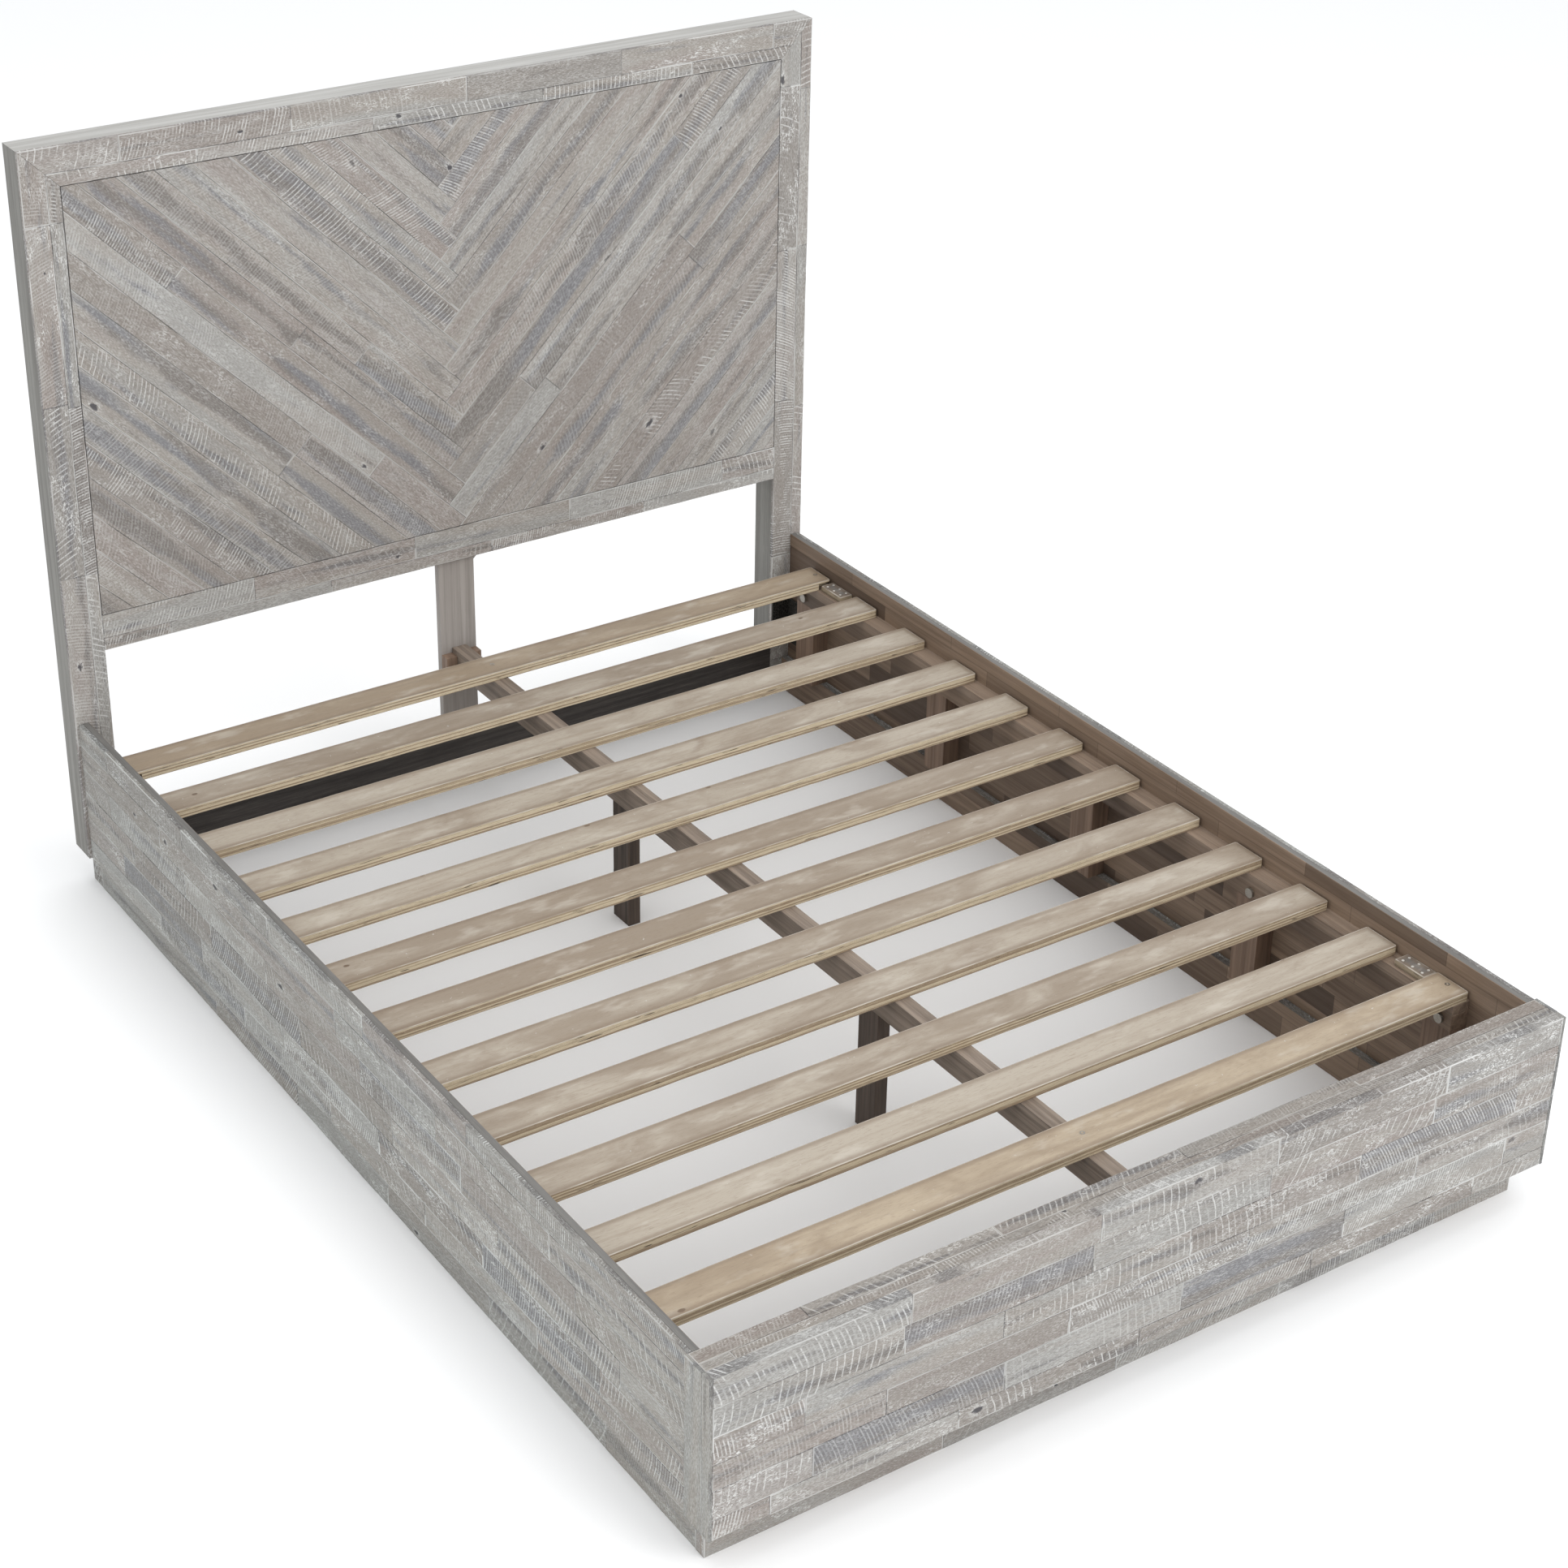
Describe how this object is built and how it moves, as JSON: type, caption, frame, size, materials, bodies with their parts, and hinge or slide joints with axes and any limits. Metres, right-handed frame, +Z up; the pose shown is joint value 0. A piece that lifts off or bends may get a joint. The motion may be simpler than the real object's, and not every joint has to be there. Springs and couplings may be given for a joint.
{
  "type": "platform bed frame",
  "caption": "Low wooden platform bed frame with a tall chevron-panelled headboard, planked rails, recessed plinth and a slatted base.",
  "frame": {"origin": "on the floor, under the middle of the bed's outline", "axes": "+Y from the footboard to the headboard, +Z up, +X to the right seen from the foot"},
  "size_m": [1.6, 2.198, 1.434],
  "materials": {
    "whitewashed_wood": "rough-sawn acacia staves, whitewashed, matt lacquer",
    "smooth_grey_wood": "smooth, grey-brown stain",
    "brown_stained_wood": "planed, brown-grey stain",
    "dark_stained_wood": "planed, very dark brown stain",
    "grey_plywood": "veneered plywood, grey-beige wash, bare ply edges",
    "tan_plywood": "veneered plywood, tan, bare ply edges",
    "plain_panel": "plain plywood, grey stain",
    "zinc_steel": "zinc plated",
    "black_steel": "black powder coat"
  },
  "bodies": {
    "bed": {"beam_cradle_foot": "brown_stained_wood", "beam_cradle_head": "brown_stained_wood", "bracket_screws": "zinc_steel", "centre_beam": "brown_stained_wood", "centre_leg_foot": "dark_stained_wood", "centre_leg_head": "dark_stained_wood", "chevron_panel_left": "whitewashed_wood", "chevron_panel_right": "whitewashed_wood", "corner_bracket_foot_left": "black_steel", "corner_bracket_foot_right": "black_steel", "corner_bracket_head_left": "black_steel", "corner_bracket_head_right": "black_steel", "footboard_core": "whitewashed_wood", "footboard_end_left": "whitewashed_wood", "footboard_end_right": "whitewashed_wood", "footboard_face": "whitewashed_wood", "footboard_lining": "whitewashed_wood", "footboard_plinth": "whitewashed_wood", "headboard_back_panel": "plain_panel", "headboard_backer": "plain_panel", "headboard_base_board": "smooth_grey_wood", "headboard_battens": "plain_panel", "headboard_bottom_rail": "whitewashed_wood", "headboard_centre_leg": "smooth_grey_wood", "headboard_foot_block_left": "whitewashed_wood", "headboard_foot_block_right": "whitewashed_wood", "headboard_glue_blocks": "brown_stained_wood", "headboard_post_left": "whitewashed_wood", "headboard_post_right": "whitewashed_wood", "headboard_top_rail": "whitewashed_wood", "ledger_bolts": "zinc_steel", "ledger_cap_left": "brown_stained_wood", "ledger_cap_right": "brown_stained_wood", "ledger_left": "brown_stained_wood", "ledger_right": "brown_stained_wood", "ledger_support_blocks_left": "brown_stained_wood", "ledger_support_blocks_right": "brown_stained_wood", "side_plinth_left": "whitewashed_wood", "side_plinth_right": "whitewashed_wood", "side_rail_left": "whitewashed_wood", "side_rail_right": "whitewashed_wood", "slat_01": "tan_plywood", "slat_12": "tan_plywood", "slat_screws": "zinc_steel", "slat_stop_foot_left": "grey_plywood", "slat_stop_foot_right": "grey_plywood", "slat_stop_head_left": "grey_plywood", "slat_stop_head_right": "grey_plywood", "stop_block_nails": "zinc_steel"},
    "slat_02": {"slat_02": "grey_plywood"},
    "slat_03": {"slat_03": "grey_plywood"},
    "slat_04": {"slat_04": "grey_plywood"},
    "slat_05": {"slat_05": "grey_plywood"},
    "slat_06": {"slat_06": "grey_plywood"},
    "slat_07": {"slat_07": "grey_plywood"},
    "slat_08": {"slat_08": "grey_plywood"},
    "slat_09": {"slat_09": "grey_plywood"},
    "slat_10": {"slat_10": "grey_plywood"},
    "slat_11": {"slat_11": "grey_plywood"}
  },
  "joints": [
    {"name": "slat_02_lift", "type": "slide", "parent": "bed", "child": "slat_02", "axis": [0, 0, 1], "range_m": [0, 0.25]},
    {"name": "slat_03_lift", "type": "slide", "parent": "bed", "child": "slat_03", "axis": [0, 0, 1], "range_m": [0, 0.25]},
    {"name": "slat_04_lift", "type": "slide", "parent": "bed", "child": "slat_04", "axis": [0, 0, 1], "range_m": [0, 0.25]},
    {"name": "slat_05_lift", "type": "slide", "parent": "bed", "child": "slat_05", "axis": [0, 0, 1], "range_m": [0, 0.25]},
    {"name": "slat_06_lift", "type": "slide", "parent": "bed", "child": "slat_06", "axis": [0, 0, 1], "range_m": [0, 0.25]},
    {"name": "slat_07_lift", "type": "slide", "parent": "bed", "child": "slat_07", "axis": [0, 0, 1], "range_m": [0, 0.25]},
    {"name": "slat_08_lift", "type": "slide", "parent": "bed", "child": "slat_08", "axis": [0, 0, 1], "range_m": [0, 0.25]},
    {"name": "slat_09_lift", "type": "slide", "parent": "bed", "child": "slat_09", "axis": [0, 0, 1], "range_m": [0, 0.25]},
    {"name": "slat_10_lift", "type": "slide", "parent": "bed", "child": "slat_10", "axis": [0, 0, 1], "range_m": [0, 0.25]},
    {"name": "slat_11_lift", "type": "slide", "parent": "bed", "child": "slat_11", "axis": [0, 0, 1], "range_m": [0, 0.25]}
  ]
}
